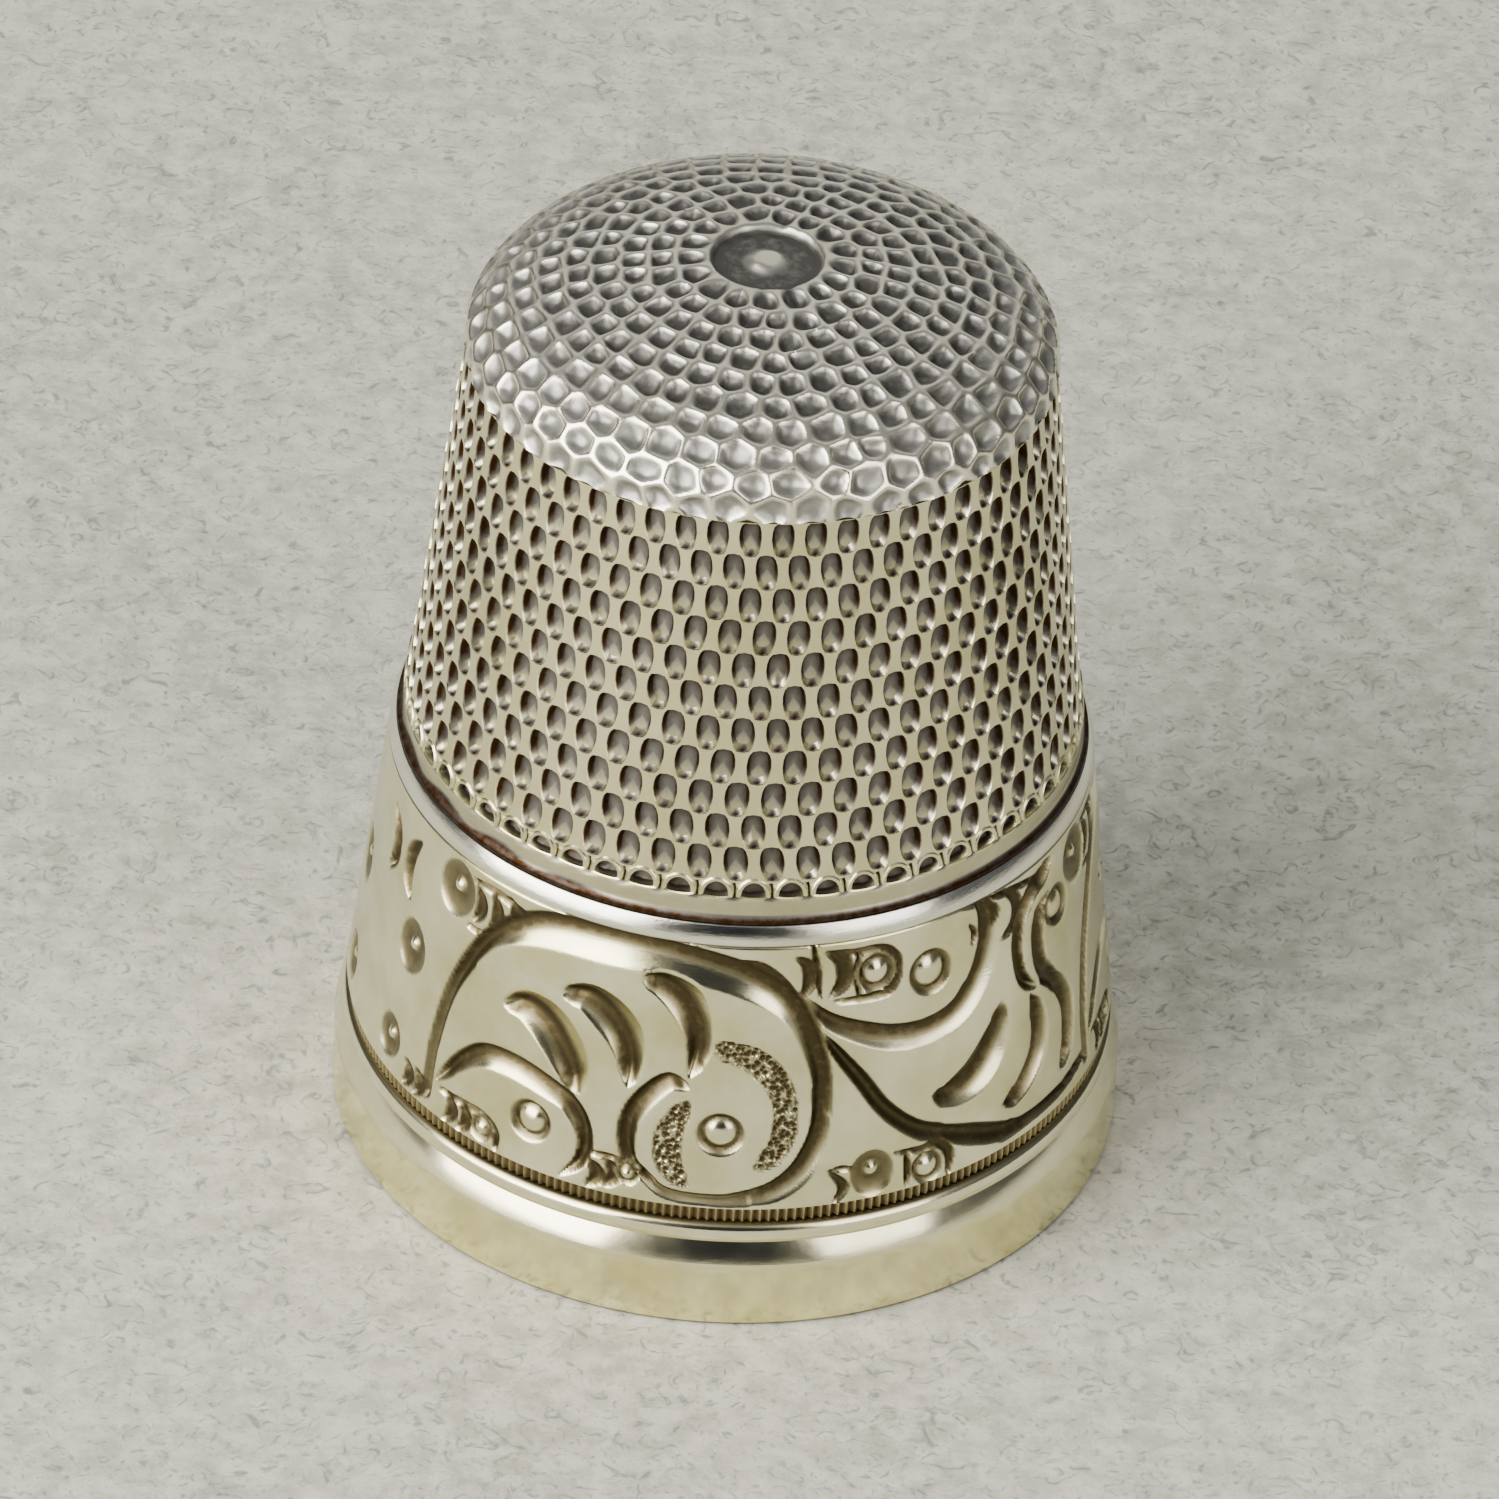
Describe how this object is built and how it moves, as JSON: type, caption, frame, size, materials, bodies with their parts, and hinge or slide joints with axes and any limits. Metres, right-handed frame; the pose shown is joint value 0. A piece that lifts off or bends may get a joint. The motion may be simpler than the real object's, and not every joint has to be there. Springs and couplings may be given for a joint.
{
  "type": "sewing thimble",
  "caption": "Silver sewing thimble with a dimpled domed crown, a knurled tapering wall, a chased scroll band and a plain flared foot.",
  "frame": {"origin": "centre of the mouth, on the plane that the foot stands on", "axes": "+Z along the thimble's axis, from the open mouth towards the crown; -Y towards the side with the large scroll; +X to the right of it"},
  "size_m": [0.019, 0.019, 0.0242],
  "materials": {
    "silver_crown": "worn sterling silver, greyer than the rest, dark oxide in the dimples",
    "silver_knurled": "sterling silver with a warm tarnish, rubbed bright on the lands and brown in the dimples",
    "silver_bead": "polished sterling silver",
    "silver_chased": "polished sterling silver with fine handling scratches, brown oxide left in the cuts",
    "silver_reeded": "milled sterling silver with brown oxide between the reeds",
    "silver_foot": "polished sterling silver, plain, with light wear along the lower edge"
  },
  "bodies": {
    "root": {"crown": "silver_crown", "side_wall": "silver_knurled", "upper_bead": "silver_bead", "band": "silver_chased", "milled_wire": "silver_reeded", "foot_rim": "silver_foot"}
  },
  "joints": []
}
